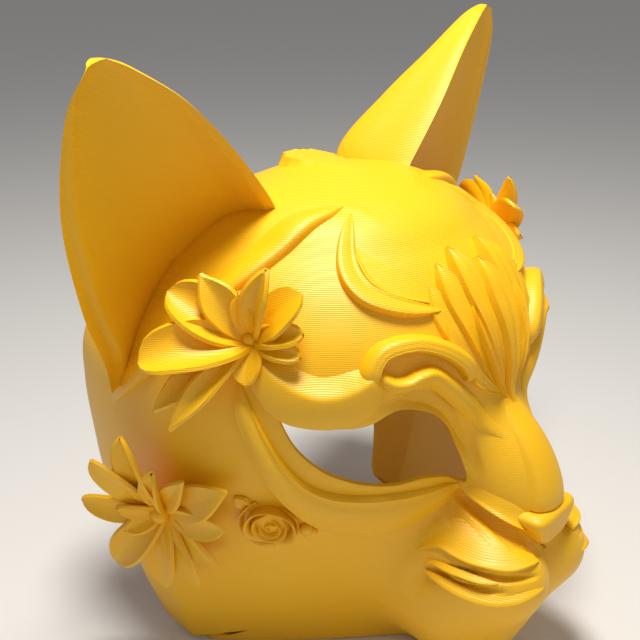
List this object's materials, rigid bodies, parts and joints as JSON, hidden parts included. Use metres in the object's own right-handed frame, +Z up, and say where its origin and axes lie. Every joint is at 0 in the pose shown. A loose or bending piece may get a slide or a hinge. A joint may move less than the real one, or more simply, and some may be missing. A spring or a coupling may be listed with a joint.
{
  "type": "cat face mask",
  "caption": "Rigid full-face cat mask with tall cupped ears, open back and neck, eye holes and raised lilies, roses, leaves and scrolls.",
  "frame": {"origin": "middle of the mask's box, at the level of its bottom rim", "axes": "+Z up to the ears, -Y the way the mask looks, +X towards its wearer's left"},
  "size_m": [0.3114, 0.2322, 0.3179],
  "materials": {
    "mask_shell": "satin yellow printing plastic with fine level print lines",
    "nose_pad": "satin yellow printing plastic with fine level print lines",
    "forehead_crest": "satin yellow printing plastic with fine level print lines",
    "ear": "satin yellow printing plastic with fine level print lines",
    "brow_scroll": "satin yellow printing plastic with fine level print lines",
    "lid_leaf": "satin yellow printing plastic with fine level print lines",
    "forehead_crescent": "satin yellow printing plastic with fine level print lines",
    "temple_lily": "satin yellow printing plastic with fine level print lines",
    "cheek_flower": "satin yellow printing plastic with fine level print lines",
    "cheek_rose": "satin yellow printing plastic with fine level print lines"
  },
  "bodies": {
    "root": {"mask_shell": "mask_shell", "nose_pad": "nose_pad", "forehead_crest": "forehead_crest", "ear_right": "ear", "ear_left": "ear", "brow_scroll_right": "brow_scroll", "brow_scroll_left": "brow_scroll", "lid_leaf_right": "lid_leaf", "lid_leaf_left": "lid_leaf", "forehead_crescent_right": "forehead_crescent", "forehead_crescent_left": "forehead_crescent", "temple_lily_right": "temple_lily", "temple_lily_left": "temple_lily", "cheek_flower_right": "cheek_flower", "cheek_flower_left": "cheek_flower", "cheek_rose_right": "cheek_rose", "cheek_rose_left": "cheek_rose"}
  },
  "joints": []
}
